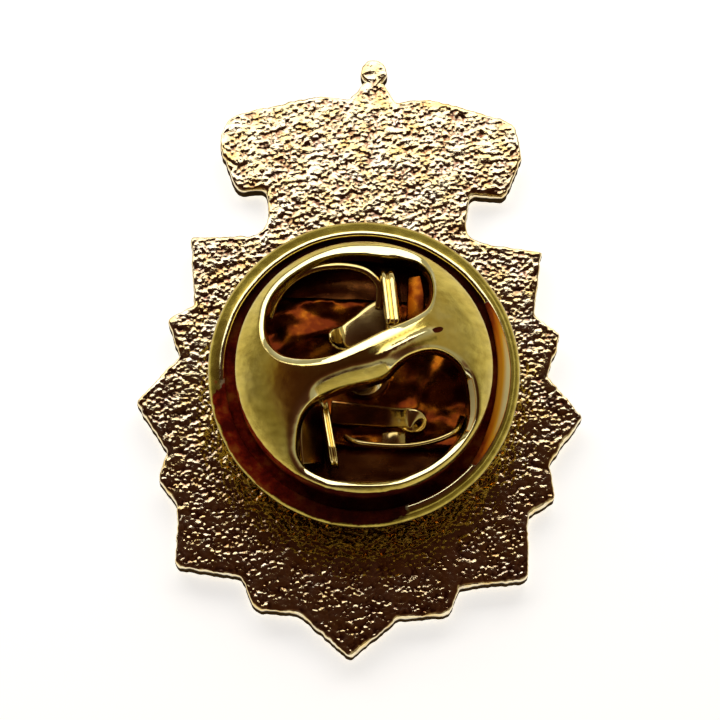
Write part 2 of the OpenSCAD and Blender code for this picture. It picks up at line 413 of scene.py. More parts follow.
def around(count):
    """The numbers of a ring's points, and of the point after each."""
    i = np.arange(count)
    return i, (i + 1) % count


def ring_faces(rows, count, start=0, closed=False):
    """Four-sided faces between rings of the same count of points, one ring after the other."""
    i, j = around(count)
    faces = []
    for row in range(rows if closed else rows - 1):
        low, high = start + row * count, start + ((row + 1) % rows) * count
        faces += list(zip(low + i, low + j, high + j, high + i))
    return faces


def inset_rows(loop, strayed, insets, clear):
    """Rows of points inside the plate's edge, without those that a corner brings too near to it."""
    rows = []
    for inset in insets:
        near = outline - (inset + 0.01) * outward(outline) + strayed
        rows.append(near[edge_distance(near, loop) > inset * clear])
    return rows


def post_rings():
    """The post from the solder up, with the neck that the spring's tongues catch and a blunt point."""
    neck_z = post_h - 0.9
    neck = [
        (0, -0.8), (0, -0.76), (-0.02, -0.73), (-0.15, -0.61), (-0.17, -0.58), (-0.17, -0.37),
        (-0.15, -0.34), (-0.02, -0.22), (0, -0.19), (0, -0.03), (-0.015, 0.03),
    ]
    profile = [(post_r, z) for z in (0.33, 1.0, 2.0, 3.0)] + [(post_r + r, neck_z + z) for r, z in neck]
    profile += [(0.2, post_h - 0.18), (0.14, post_h - 0.06), (0.07, post_h - 0.01)]
    return [np.column_stack([circle(post_at, r, post_n), np.full(post_n, plate_t + z)]) for r, z in profile]


covered_r = 5.1


def struck_plate():
    """The whole plate with its post. The back's mesh is coarse where the clutch covers it."""
    rng = np.random.default_rng(7)
    count = len(outline)
    out = outward(outline)
    ragged = 0.05 * bumps(outline, 0.45, 0.45, 0, 2.0) + 0.035 * bumps(outline, 0.17, 0.17, 0, 6.0)
    neck_x, neck_y = outline_corners[-1][:2]
    from_neck = np.hypot(np.abs(outline[:, 0]) - neck_x, outline[:, 1] - neck_y)
    ragged *= clamped((from_neck - 0.08) / 0.25)
    room = np.array(cad_high[:2]) * 1000 - np.abs(outline + (0, star_y)) - 0.02
    wander = np.minimum(ragged, room.min(axis=1))[:, None] * out
    loop = outline - 0.01 * out + wander
    hole = circle(post_at, post_r, post_n)
    shelf = inset_rows(loop, wander, (0.015, 0.04, 0.075, 0.12, 0.17, 0.23), 0.9)
    fine = scattered(loop, 0.056, 0.22, rng)
    coarse = scattered(loop, 0.11, 0.22, rng)
    fine = fine[lengths(fine - post_at) >= covered_r]
    from_post = lengths(coarse - post_at)
    coarse = coarse[(from_post < covered_r) & (from_post > 1.3)]
    collar = [circle(post_at, r, post_n, r) for r in (0.66, 0.73, 0.8, 0.9, 1.0, 1.12, 1.25)]
    back, back_faces = filled(loop, np.vstack(shelf + [fine, coarse] + collar), [hole])
    back_faces = back_faces[lengths(back[back_faces].mean(axis=1) - post_at) > post_r]
    back_z, crease = back_height(back, loop)
    back_z[:count] = back_level - rounding_at(loop, np.arange(count))

    closed, opened = front_lines()
    rows = inset_rows(loop, wander, (0.05, 0.12, 0.2, 0.29, border_w - 0.03, border_w + 0.03), 0.93)
    plain = scattered(loop, 0.13, 0.56, rng)
    front, front_faces = filled(loop, np.vstack(rows + [plain]), closed, opened)
    front_z = front_height(front, loop)
    front_z[:count] = front_edge_z

    points = [np.column_stack([back, back_z])]
    wall_rows = np.linspace(0, 1, 7)[1:-1]
    for down in wall_rows:
        swell = 0.012 * np.array([noise.noise((p[0] * 3, p[1] * 3, down * 2)) for p in loop])
        z = back_z[:count] * (1 - down) + front_edge_z * down
        points.append(np.column_stack([loop + out * (swell[:, None] + 0.006), z]))
    wall_start = len(back)
    front_start = wall_start + len(wall_rows) * count
    points.append(np.column_stack([front, front_z]))
    faces = [tuple(f) for f in back_faces] + [tuple(f[::-1] + front_start) for f in front_faces]
    starts = [0] + [wall_start + i * count for i in range(len(wall_rows))] + [front_start]
    i, j = around(count)
    for high, low in zip(starts[:-1], starts[1:]):
        faces += list(zip(high + i, low + i, low + j, high + j))

    foot = nearest_on(back, hole)
    rings = post_rings()
    post_start = front_start + len(front)
    last = post_start + (len(rings) - 1) * post_n
    i, j = around(post_n)
    points += rings + [[(*post_at, plate_t + post_h)]]
    faces += list(zip(foot[i], foot[j], post_start + j, post_start + i))
    faces += ring_faces(len(rings), post_n, post_start)
    faces += [(last + a, last + b, last + post_n) for a, b in zip(i, j)]
    points = np.vstack(points)

    pebbled, deep, trimmed = np.zeros((3, len(points)))
    pebbled[:len(back)] = clamped(edge_distance(back, loop) / 0.25)
    pebbled[:len(back)] *= clamped((lengths(back - post_at) - 1.0) / 0.5)
    sunk = (front_z > field_depth - 0.01) & (edge_distance(front, loop) > border_w)
    pebbled[front_start:post_start] = sunk * 0.35
    # The crease depth, with the painted shadow below the clutch, is painted shade in the back's colour.
    deep[:len(back)] = crease
    # The trimmed edge is raw brass darkened further as painted shade where it faces the shadowed floor; the
    # post is darkened a little as painted shade inside the clutch.
    trimmed[wall_start:front_start + count] = 1
    trimmed[post_start:] = 0.15
    piece = metal("struck_plate", points, faces)
    for name, values in (("pebbled", pebbled), ("crease", deep), ("trimmed", trimmed)):
        mark_points(piece, name, values)
    return piece


def node(tree, kind, **settings):
    """A new node with its settings, where in_ stands before the name of a socket."""
    made = tree.nodes.new(kind)
    for key, value in settings.items():
        if key.startswith("in_"):
            made.inputs[key[3:].replace("_", " ")].default_value = value
        else:
            setattr(made, key, value)
    return made


def in_millimetres(tree, stretch=(1, 1, 1)):
    """The place on the piece, in millimetres, stretched for a finish that runs one way."""
    place = node(tree, "ShaderNodeTexCoord")
    scale = node(tree, "ShaderNodeVectorMath", operation="MULTIPLY")
    scale.inputs[1].default_value = [1000 * s for s in stretch]
    tree.links.new(place.outputs["Object"], scale.inputs[0])
    return scale.outputs[0]


def noise_node(tree, place, scale, detail, rough=0.55, distortion=0.0):
    grain = {"in_Scale": scale, "in_Detail": detail, "in_Roughness": rough, "in_Distortion": distortion}
    made = node(tree, "ShaderNodeTexNoise", **grain)
    tree.links.new(place, made.inputs["Vector"])
    return made.outputs[0]


def ramp(tree, factor, stops):
    made = node(tree, "ShaderNodeValToRGB")
    elements = made.color_ramp.elements
    for element, (position, colour) in zip(elements, (stops[0], stops[-1])):
        element.position, element.color = position, (*colour, 1)
    for position, colour in stops[1:-1]:
        elements.new(position).color = (*colour, 1)
    tree.links.new(factor, made.inputs["Fac"])
    return made.outputs["Color"]


def feed(tree, socket, value):
    """Set a socket to a number or a colour, or link it to what another node gives."""
    if isinstance(value, bpy.types.NodeSocket):
        tree.links.new(value, socket)
    else:
        socket.default_value = (*value, 1) if isinstance(value, tuple) else value


def maths(tree, operation, a, b):
    made = node(tree, "ShaderNodeMath", operation=operation)
    for socket, value in zip(made.inputs, (a, b)):
        feed(tree, socket, value)
    return made.outputs[0]


def from_to(tree, value, low, high, start=0.0, end=1.0):
    """A value that runs from start to end, brought to run from low to high."""
    span = {"in_From_Min": start, "in_From_Max": end, "in_To_Min": low, "in_To_Max": high}
    made = node(tree, "ShaderNodeMapRange", **span)
    tree.links.new(value, made.inputs["Value"])
    return made.outputs["Result"]


def bump(tree, height, distance, strength, normal=None):
    made = node(tree, "ShaderNodeBump", in_Strength=strength, in_Distance=distance)
    tree.links.new(height, made.inputs["Height"])
    if normal is not None:
        tree.links.new(normal, made.inputs["Normal"])
    return made.outputs["Normal"]


def mixed(tree, factor, a, b):
    """Colour a turned towards colour b by a factor."""
    made = node(tree, "ShaderNodeMix", data_type="RGBA")
    for socket, value in (("A", a), ("B", b), ("Factor", factor)):
        feed(tree, made.inputs[socket], value)
    return made.outputs["Result"]


def marked(tree, name):
    return node(tree, "ShaderNodeAttribute", attribute_name=name).outputs["Fac"]


def empty_finish(name):
    """A new material, and its node tree."""
    material = bpy.data.materials.new(name)
    material.use_nodes = True
    return material, material.node_tree


def finished(material, **looks):
    """The same material with its shader's sockets set or linked."""
    tree = material.node_tree
    for name, value in looks.items():
        feed(tree, tree.nodes["Principled BSDF"].inputs[name.replace("_", " ")], value)
    return material


def die_skin_gilding():
    """Pale gold on the pebbles, with brown painted shade in the creases between them and painted shadow below
    the clutch, and raw dull brass on the trimmed edge, darkened further as painted shade.
    """
    material, tree = empty_finish("gilding over the die skin")
    slanted = in_millimetres(tree, (0.75, 1.15, 1))
    patches = noise_node(tree, in_millimetres(tree), 1.7, 3)
    golds = [(0.32, (0.90, 0.66, 0.26)), (0.5, (0.95, 0.79, 0.46)), (0.68, (0.97, 0.87, 0.64))]
    # Painted shade: the creases and the plate below the clutch turn dark brown.
    crease = from_to(tree, marked(tree, "crease"), -0.1, 1.0)
    skin = mixed(tree, crease, ramp(tree, patches, golds), (0.20, 0.045, 0.02))
    # The trimmed edge and the post turn dark and dull: raw brass, and painted shade.
    edge = marked(tree, "trimmed")
    polish = from_to(tree, noise_node(tree, slanted, 4.5, 2), 0.06, 0.16)
    lumps = noise_node(tree, slanted, 5.5, 2, 0.55, 0.3)
    folded = maths(tree, "ABSOLUTE", maths(tree, "SUBTRACT", lumps, 0.5), 0.0)
    height = maths(tree, "MULTIPLY", folded, marked(tree, "pebbled"))
    scratches = bump(tree, noise_node(tree, in_millimetres(tree, (3, 9, 9)), 1.4, 3), 0.000003, 0.5)
    return finished(
        material,
        Base_Color=mixed(tree, edge, skin, (0.05, 0.028, 0.01)),
        Metallic=maths(tree, "SUBTRACT", 1.0, edge),
        Specular_IOR_Level=0.0,
        Roughness=maths(tree, "ADD", polish, maths(tree, "MULTIPLY", edge, 0.3)),
        Normal=bump(tree, height, 0.000013, 1.0, scratches),
    )


plate = struck_plate()
plate.data.materials.append(die_skin_gilding())
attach(plate, "badge")
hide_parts("badge_plate")


# The clutch's base: a disc of thin brass with a hole for the post, whose edge is rolled up and in over the
# cap's flange by a spinning tool. The roll wanders a little, laps further in on one side, and is polished and
# gilded with the cap in place.
clutch_z = plate_t + 2.3
rim_r = 5.75
bead_r = 0.42
sheet_t = 0.25
hole_r = 0.75
bead_x = rim_r - bead_r
turns = 256
clutch_at = post_at + (0.085, 0.09)


def arc(x, y, r, start, end, steps):
    a = np.radians(np.linspace(start, end, steps))
    return np.column_stack([x + r * np.cos(a), y + r * np.sin(a)])


def base_profile():
    """The base's section as radius and height: out along the floor's underside, round the roll and back."""
    inner_bead = bead_r - sheet_t
    floor_under = [
        (hole_r + 0.03, 0.0), (1.3, 0.0), (1.45, 0.012), (1.6, 0.05), (1.9, 0.05),
        (2.05, 0.012), (2.2, 0.0), (3.0, 0.0), (4.2, 0.0), (4.9, 0.0),
    ]
    ridge = [(4.9, 0), (4.2, 0), (3.0, 0), (2.2, 0), (2.05, 0.012), (1.9, 0.04), (1.6, 0.04), (1.45, 0.012)]
    floor_over = [(r, sheet_t + z) for r, z in ridge + [(1.3, 0), (hole_r + 0.03, 0), (hole_r, -0.03)]]
    floor_over.append((hole_r, 0.03))
    under = arc(bead_x, bead_r, bead_r, -90, 0, 12)
    side = arc(rim_r - 0.3, bead_r, 0.3, 0, 55, 9)[1:]
    slope = [(5.572, 0.698), (5.52, 0.73), (5.468, 0.76), (5.42, 0.784), (5.38, 0.803)]
    crest = arc(bead_x - 0.08, 0.62, 0.22, 65, 112, 12)
    edge = arc(bead_x - 0.137, 0.761, 0.068, 112, 265, 9)[1:]
    inner = arc(bead_x, bead_r, inner_bead, 90, -90, 18)
    return np.vstack([floor_under, under, side, slope, crest, edge, inner, floor_over])


def lap_share(a):
    """Where the roll laps further in over the flange."""
    return clamped(5.0 * np.cos(a + 0.05) - 4.0)


def rolled_base(profile):
    """The section turned about the post's axis, with the roll's ripple and lap."""
    a = np.arange(turns) * 2 * math.pi / turns
    ripple = 0.010 * np.sin(3 * a + 1.1) + 0.006 * np.sin(7 * a + 0.4) + 0.004 * np.sin(17 * a)
    points = []
    for r, z in profile:
        share = clamped((r - 4.6) / 0.5) * clamped(z / 0.5)
        pushed = 0.1 * clamped(np.cos(a + 0.6)) * clamped((z - 0.5) / 0.2) * (r < 5.5)
        lapped = lap_share(a) * clamped((5.24 - r) / 0.06) * (z > 0.6)
        reach = r + share * ripple + pushed - 0.3 * lapped
        height = z + share * 0.6 * np.roll(ripple, 31) - 0.05 * lapped
        points.append(np.column_stack([reach * np.cos(a), reach * np.sin(a), height]))
    points = np.vstack(points) + (*clutch_at, clutch_z)
    return metal("clutch_base_rolled", points, ring_faces(len(profile), turns, closed=True))


def sheet_gilding():
    """Thin gilding on pressed sheet, with soft waves and duller patches. Handled parts are satin, worn edges
    pale, partly as a painted highlight tint, and inner sides brown as painted shade. A dark non-metal coat is
    painted shade in the groove inside the rim and in a dimple, a painted dark reflection on the roll's lower
    left, a painted amber glint where the roll laps in, and a painted pale highlight on the lower opening's
    right brink."""
    material, tree = empty_finish("gilding on pressed sheet")
    place = in_millimetres(tree)
    patches = noise_node(tree, place, 0.7, 4, 0.6)
    smears = noise_node(tree, in_millimetres(tree, (1, 2.2, 1.5)), 1.6, 3)
    blotches = noise_node(tree, place, 1.5, 4, 0.65)
    satin, inner, red = marked(tree, "satin"), marked(tree, "inner"), marked(tree, "red")
    # The coat's share, with blotchy edges: painted shade, painted dark reflection, painted glint and painted
    # highlight.
    spread = maths(tree, "ADD", marked(tree, "painted_light_coat"), maths(tree, "SUBTRACT", blotches, 0.5))
    painted_light_coat = from_to(tree, spread, 0.0, 1.0, 0.42, 0.58)
    golds = [(0.3, (0.78, 0.52, 0.08)), (0.5, (0.92, 0.70, 0.18)), (0.7, (0.96, 0.82, 0.36))]
    # Worn edges turn pale gold, partly wear and partly a painted highlight tint.
    colour = mixed(tree, marked(tree, "wear_and_highlight"), ramp(tree, patches, golds), (0.97, 0.90, 0.50))
    worn = ramp(tree, smears, [(0.35, (0.34, 0.25, 0.035)), (0.65, (0.50, 0.39, 0.07))])
    colour = mixed(tree, satin, colour, worn)
    # Inner sides turn dark brown as painted shade.
    within = ramp(tree, patches, [(0.35, (0.10, 0.022, 0.008)), (0.65, (0.34, 0.12, 0.025))])
    colour = mixed(tree, inner, colour, within)
    # The coat's colour: near black to dark red for painted shade and painted dark reflection, and where red
    # is above 1, amber to pale yellow for the painted glint and painted highlight.
    reds = [(0.38, (0.10, 0.006, 0.003)), (0.5, (0.26, 0.016, 0.005)), (0.64, (0.40, 0.09, 0.012))]
    painted_light_colour = mixed(tree, red, (0.016, 0.004, 0.003), ramp(tree, blotches, reds))
    glint_share = maths(tree, "SUBTRACT", red, 1.0)
    glint_ambers = [(0.3, (0.75, 0.20, 0.01)), (0.6, (1.0, 0.50, 0.03)), (0.95, (1.0, 0.90, 0.42))]
    painted_light_colour = mixed(tree, maths(tree, "MULTIPLY", glint_share, 4.0), painted_light_colour, ramp(tree, glint_share, glint_ambers))
    polish = from_to(tree, smears, 0.05, 0.15)
    dull = maths(tree, "MULTIPLY", maths(tree, "MAXIMUM", satin, inner), 0.16)
    waves = bump(tree, noise_node(tree, place, 0.9, 2), 0.00008, 0.5)
    return finished(
        material,
        Base_Color=mixed(tree, painted_light_coat, colour, painted_light_colour),
        Metallic=maths(tree, "SUBTRACT", 1.0, painted_light_coat),
        Specular_IOR_Level=0.0,
        Roughness=maths(tree, "ADD", polish, dull),
        Normal=bump(tree, noise_node(tree, place, 14.0, 3), 0.000004, 0.5, waves),
    )


pressed_sheet = sheet_gilding()
rolled = base_profile()
base = rolled_base(rolled)
floor_over_n = 13
floor_under_n = 10
# Each finish lies between some rows of the section, counted up round the roll from the floor, and on the roll
# the dark coat is further limited to some degrees round the rim. The coat is painted light: painted shade in
# the groove, a painted dark reflection on the roll's lower left, and a painted amber glint where the roll
# laps in on the right.
row = np.arange(len(rolled)) - floor_under_n
azimuth = np.arange(turns) * 360 / turns
painted_dark_side = np.interp(azimuth, [178, 194, 284, 296], [0, 1, 1, 0])
lapped = lap_share(np.radians(azimuth)) ** 0.5
roll_painted_shade = np.outer(np.interp(row, [12, 22, 44, 45], [0, 1, 1, 0]), painted_dark_side)
groove_painted_shade = np.interp(row, [38, 40, 62, 63], [0, 1, 1, 0])[:, None]
lap_painted_glint = np.outer(np.interp(row, [27, 29, 44, 45], [0, 1, 1, 0]), lapped)
lap_glint_tone = np.outer(np.interp(row, [26, 29, 32, 34, 44, 45], [0, 2, 2, 1.5, 1.35, 0]), lapped)
# How red the coat's painted shade is round the rim: redder on the left and lower left, and on the right.
red_turns = [0, 25, 150, 184, 230, 250, 290, 330, 360]
red_shares = [0.6, 0.15, 0.1, 0.8, 0.8, 0.2, 0.15, 0.5, 0.6]
# The floor inside the clutch is brown as painted shade.
mark_points(base, "inner", np.repeat(np.arange(len(rolled)) >= len(rolled) - floor_over_n, turns))
mark_points(base, "satin", np.repeat(np.interp(row, [-1, 0, 24, 28], [0, 1, 1, 0]), turns))
# The roll's crest is worn pale, partly as a painted highlight tint.
mark_points(base, "wear_and_highlight", np.repeat(np.interp(row, [25, 27, 37, 39], [0, 1, 1, 0]), turns))
mark_points(base, "painted_light_coat", np.maximum(np.maximum(roll_painted_shade, groove_painted_shade), 2 * lap_painted_glint).ravel())
mark_points(base, "red", np.maximum(np.interp(azimuth, red_turns, red_shares), lap_glint_tone).ravel())
base.data.materials.append(pressed_sheet)
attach(base, "clutch")
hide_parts("clutch_base")


# The clutch's cap: thin gilded brass drawn to a dome, with a flange that the base's rolled edge holds. Two
# openings are pierced in it and their edges pressed down, which leaves an S-shaped bridge with a crease
# beside it. It is worked out flat, by the distance along the dome from its top, and then put on the dome.
dome_h = 4.0
dome_r = 6.05
cap_wall_r = 4.73
shoulder_r = 0.35
dome_z = dome_h - dome_r
shoulder_x = cap_wall_r - shoulder_r
shoulder_z = dome_z + math.sqrt((dome_r - shoulder_r) ** 2 - shoulder_x ** 2)
shoulder_a = math.degrees(math.atan2(shoulder_z - dome_z, shoulder_x))
dome_n = 120
shoulder_n = 24
# Each opening's brink, anticlockwise: x, y, then the width of the roll outside it, how steeply the flattened
# edge rises towards the opening, and how wide that flattened edge is.
upper_brink = [
    (-3.7, 1.5, 0.14, -0.2, 0.06), (-3.68, 1.0, 0.14, -0.2, 0.06), (-3.58, 0.62, 0.14, -0.3, 0.06),
    (-3.4, 0.36, 0.15, -0.4, 0.08), (-3.15, 0.13, 0.16, -0.5, 0.1), (-2.85, -0.03, 0.15, -0.55, 0.12),
    (-2.4, -0.14, 0.14, -0.55, 0.12), (-1.9, -0.17, 0.12, -0.5, 0.12), (-1.4, -0.12, 0.09, -0.35, 0.14),
    (-1.0, 0.0, 0.08, -0.25, 0.17), (-0.5, 0.25, 0.08, -0.25, 0.19), (0.0, 0.53, 0.1, -0.25, 0.2),
    (0.5, 0.83, 0.12, -0.25, 0.2), (0.95, 1.08, 0.12, -0.25, 0.18), (1.4, 1.34, 0.12, -0.4, 0.14),
    (1.85, 1.65, 0.12, -0.5, 0.1), (2.2, 1.95, 0.1, -0.3, 0.05), (2.38, 2.35, 0.07, 0.1, 0.02),
    (2.41, 2.9, 0.07, 0.3, 0.02), (2.25, 3.5, 0.08, 0.4, 0.06), (1.88, 3.92, 0.1, 0.35, 0.12),
    (1.3, 4.08, 0.1, 0.2, 0.24), (0.5, 4.12, 0.1, 0.2, 0.3), (-0.4, 4.16, 0.1, 0.2, 0.24),
    (-1.1, 4.1, 0.1, 0.22, 0.18), (-1.7, 3.92, 0.1, 0.25, 0.13), (-2.25, 3.64, 0.1, 0.25, 0.1),
    (-2.9, 3.15, 0.12, 0.2, 0.09), (-3.35, 2.65, 0.13, 0.15, 0.08), (-3.62, 2.1, 0.14, 0.0, 0.07),
]
lower_brink = [
    (3.91, -1.6, 0.22, -1.2, 0.15), (3.88, -1.05, 0.22, -1.25, 0.17), (3.77, -0.5, 0.22, -1.2, 0.14),
    (3.64, -0.15, 0.2, -0.3, 0.08), (3.42, 0.13, 0.18, -0.2, 0.03), (3.03, 0.35, 0.14, -0.1, 0.01),
    (2.57, 0.44, 0.12, 0.0, 0.01), (2.1, 0.35, 0.12, -0.1, 0.01), (1.58, 0.1, 0.15, -0.3, 0.03),
    (1.2, -0.2, 0.25, -0.6, 0.12), (0.8, -0.58, 0.3, -1.3, 0.26), (0.3, -0.8, 0.33, -1.35, 0.3),
    (-0.3, -0.96, 0.32, -1.35, 0.3), (-0.9, -1.14, 0.3, -1.35, 0.27), (-1.5, -1.4, 0.34, -1.2, 0.22),
    (-1.9, -1.7, 0.34, -0.5, 0.12), (-2.18, -2.05, 0.34, -0.4, 0.05), (-2.32, -2.5, 0.34, -0.4, 0.03),
    (-2.36, -3.0, 0.32, -0.4, 0.03), (-2.32, -3.4, 0.28, -0.3, 0.03), (-2.13, -3.72, 0.2, -0.25, 0.08),
    (-1.85, -3.96, 0.14, -0.22, 0.16), (-1.3, -4.2, 0.12, -0.22, 0.16), (-0.75, -4.3, 0.1, -0.35, 0.1),
    (0.0, -4.32, 0.1, -0.55, 0.08), (0.8, -4.27, 0.1, -0.55, 0.08), (1.56, -4.1, 0.08, -0.4, 0.1),
    (2.37, -3.71, 0.08, -0.3, 0.1), (2.91, -3.31, 0.08, -0.3, 0.11), (3.28, -2.94, 0.08, -0.3, 0.13),
    (3.63, -2.48, 0.12, -0.6, 0.16), (3.82, -2.1, 0.18, -1.2, 0.15),
]
crease = [(0.3, -0.18), (0.65, 0.02), (1.0, 0.25), (1.5, 0.58), (2.0, 0.88), (2.5, 1.14)]
dimple = (2.62, 1.17)
cap_end_r = 5.36


def cap_profile():
    """Distance along the cap's outer side from its top, with the radius and height there."""
    dome = arc(0, dome_z, dome_r, 90, shoulder_a, dome_n)
    shoulder = arc(shoulder_x, shoulder_z, shoulder_r, shoulder_a, 0, shoulder_n)[1:]
    foot_z = bead_r + 0.11
    fillet = arc(cap_wall_r + 0.15, foot_z + 0.15, 0.15, 180, 270, 7)
    flange = [(cap_wall_r + 0.25, foot_z), (cap_end_r, foot_z)]
    line = np.vstack([dome, shoulder, fillet, flange])
    along = np.concatenate([[0], np.cumsum(lengths(np.diff(line, axis=0)))])
    return along, line[:, 0], line[:, 1]


cap_along, cap_r, cap_z = cap_profile()
over_n = dome_n + shoulder_n - 1
over_along, over_r, over_z = cap_along[:over_n], cap_r[:over_n], cap_z[:over_n]


def smooth_line(marks, closed, per_span=24):
    """A smooth curve through the marks."""
    marks = np.asarray(marks, float)
    n = len(marks)
    spans = n if closed else n - 1
    rows = []
    for i in range(spans):
        pick = [(i + k) % n if closed else min(max(i + k, 0), n - 1) for k in (-1, 0, 1, 2)]
        a, b, c, d = marks[pick]
        for t in np.arange(per_span) / per_span:
            rows.append(0.5 * (2 * b + (c - a) * t + (2 * a - 5 * b + 4 * c - d) * t ** 2
                               + (3 * b - a - 3 * c + d) * t ** 3))
    if not closed:
        rows.append(marks[-1])
    return np.array(rows)


def laid_flat(points):
    """From the plan to the flat sheet, where the distance from the middle is along the dome."""
    r = lengths(points)
    flat_r = np.interp(r, over_r, over_along)
    return points * (flat_r / np.maximum(r, 1e-9))[:, None]


opening_reach = 4.69
brink_w = 0.05
lip_slope = 5.0


def opening_strip(brink):
    """Rows of points from the lip's lower end out to the plain dome, each with its height, and a mark for a
    painted highlight and satin on the steepest lips.
    """
    places, roll, rise, flat_w = brink[:, :2], brink[:, 2], brink[:, 3], brink[:, 4]
    out = outward(places)
    across = (places * out).sum(1)
    room = np.sqrt(np.maximum(across ** 2 + opening_reach ** 2 - (places ** 2).sum(1), 0)) - across
    flat_w = np.maximum(np.minimum(flat_w, room - roll - brink_w), 0.01)
    roll = np.minimum(roll, room - flat_w - brink_w)
    for _ in range(14):
        flat_w = (np.roll(flat_w, 1) + flat_w + np.roll(flat_w, -1)) / 3
        roll = np.minimum((np.roll(roll, 1) + roll + np.roll(roll, -1)) / 3, room - flat_w - brink_w)
    end = places + out * (brink_w + flat_w + roll)[:, None]
    end_r = lengths(end)
    dome_slope = np.interp(end_r, over_r[1:], -np.diff(over_z) / np.diff(over_r))
    dome_slope *= (end * out).sum(1) / end_r
    lip, shares = [-0.13, -0.05, -0.03, 0.0, 0.025, brink_w], (0.2, 0.4, 0.6, 0.8, 1)
    rows = [np.full(len(brink), s) for s in lip] + [brink_w + flat_w * s for s in (0.5, 1)]
    rows += [brink_w + flat_w + roll * s for s in shares]
    # A mark on the steepest lips: on the lower opening's right side it later gives a painted pale highlight,
    # and under the bridge it makes the lip satin.
    lip_highlight_and_satin = clamped((-1.0 - rise) / 0.15) * np.where(places[:, 0] < 2, -1.8, 1.0)
    turned_in = [clamped((brink_w - s) / (brink_w + 0.05)) ** 1.6 for s in lip]
    slopes = [rise - (rise + lip_slope) * share for share in turned_in]
    slopes += [rise, rise] + [rise + (dome_slope - rise) * s for s in shares]
    heights = [np.interp(end_r, over_r, over_z)]
    for k in range(len(rows) - 1, 0, -1):
        heights.insert(0, heights[0] + (rows[k] - rows[k - 1]) * (slopes[k] + slopes[k - 1]) / 2)
    return [places + out * row[:, None] for row in rows], heights, lip_highlight_and_satin


def crease_height(points):
    """The raised crease beside the bridge, which ends in a small dimple."""
    line = smooth_line(crease, False, 10)
    share = np.interp(np.arange(len(line)), [0, 10, 20, len(line) - 5, len(line) - 1], [0, 0.35, 1, 1, 0.4])
    gaps = lengths(points[:, None, :] - line[None])
    ridge = share[gaps.argmin(axis=1)] * np.exp(-(gaps.min(axis=1) / 0.13) ** 2)
    hollow = np.exp(-(lengths(points - dimple) / 0.14) ** 2)
    return 0.1 * ridge - 0.03 * hollow


def inside(loop, points):
    """Which points lie inside a closed loop."""
    within = np.zeros(len(points), bool)
    for p, q in zip(loop, np.roll(loop, -1, axis=0)):
        span = (p[1] > points[:, 1]) != (q[1] > points[:, 1])
        at = p[0] + (points[:, 1] - p[1]) / (q[1] - p[1] + 1e-12) * (q[0] - p[0])
        within ^= span & (points[:, 0] < at)
    return within


def drawn_cap():
    """The cap's outer side: its points, its faces, and a mark for each point: worn pale, partly as a painted
    highlight tint, above 1 a painted highlight, and below 0 satin.
    """
    rng = np.random.default_rng(21)
    strips = [opening_strip(evenly(smooth_line(brink, True), 0.06)) for brink in (upper_brink, lower_brink)]
    outer_flat = [laid_flat(rows[-1]) for rows, _, _ in strips]
    ring_n = 300
    dome_s = np.interp(opening_reach + 0.02, over_r, over_along)
    dome_loop = circle((0, 0), dome_s, ring_n)
    sheet_points = scattered(dome_loop, 0.09, 0.04, rng)
    for hole in outer_flat:
        clear = ~inside(hole, sheet_points) & (edge_distance(sheet_points, hole) > 0.045)
        sheet_points = sheet_points[clear]
    flat, faces = filled(dome_loop, sheet_points, outer_flat)
    for hole in outer_flat:
        faces = faces[~inside(hole, flat[faces].mean(axis=1))]
    flat_r = lengths(flat)
    r = np.interp(flat_r, cap_along, cap_r)
    plan = flat * (r / np.maximum(flat_r, 1e-9))[:, None]
    top = np.column_stack([plan, np.interp(flat_r, cap_along, cap_z)])
    top[:, 2] += crease_height(plan)

    wall_s, foot_s = cap_along[over_n - 1:over_n + 1]
    wall_rows = [np.linspace(dome_s, wall_s, 10)[1:], np.linspace(wall_s, foot_s, 4)[1:]]
    wall_rows = np.concatenate(wall_rows + [cap_along[over_n + 1:]])
    rims = []
    for s in wall_rows:
        ring = circle((0, 0), np.interp(s, cap_along, cap_r), ring_n)
        rims.append(np.column_stack([ring, np.full(ring_n, np.interp(s, cap_along, cap_z))]))
    points = [top] + rims
    wear_and_highlight = [crease_height(plan) / 0.1, np.zeros(ring_n * len(rims))]
    all_faces = [tuple(f) for f in faces]
    start = len(top)
    i, j = around(ring_n)
    all_faces += list(zip(i, start + i, start + j, j))
    all_faces += [f[::-1] for f in ring_faces(len(rims), ring_n, start)]
    start += ring_n * len(rims)
    for (rows, heights, lip_highlight_and_satin), hole in zip(strips, outer_flat):
        n = len(hole)
        i, j = around(n)
        join = nearest_on(flat, hole)
        for plan, height in zip(rows[:-1], heights[:-1]):
            points.append(np.column_stack([plan, height + crease_height(plan)]))
        for row in range(len(rows) - 1):
            # The lips' flat edges are worn pale, partly as a painted highlight tint, and on the steepest lips
            # the mark adds a painted highlight on the right and satin under the bridge.
            bright = np.interp(row, [4, 5, 8, 11], [0, 1, 0.9, 0.1])
            wear_and_highlight.append(bright + lip_highlight_and_satin * np.interp(row, [3, 4, 7, 8], [0, 1, 1, 0]))
        for row in range(len(rows) - 2):
            low, high = start + row * n, start + (row + 1) * n
            all_faces += list(zip(low + j, low + i, high + i, high + j))
        low = start + (len(rows) - 2) * n
        all_faces += list(zip(low + j, low + i, join[i], join[j]))
        start += n * (len(rows) - 1)
    return np.vstack(points), all_faces, np.clip(np.concatenate(wear_and_highlight), -1, 2)


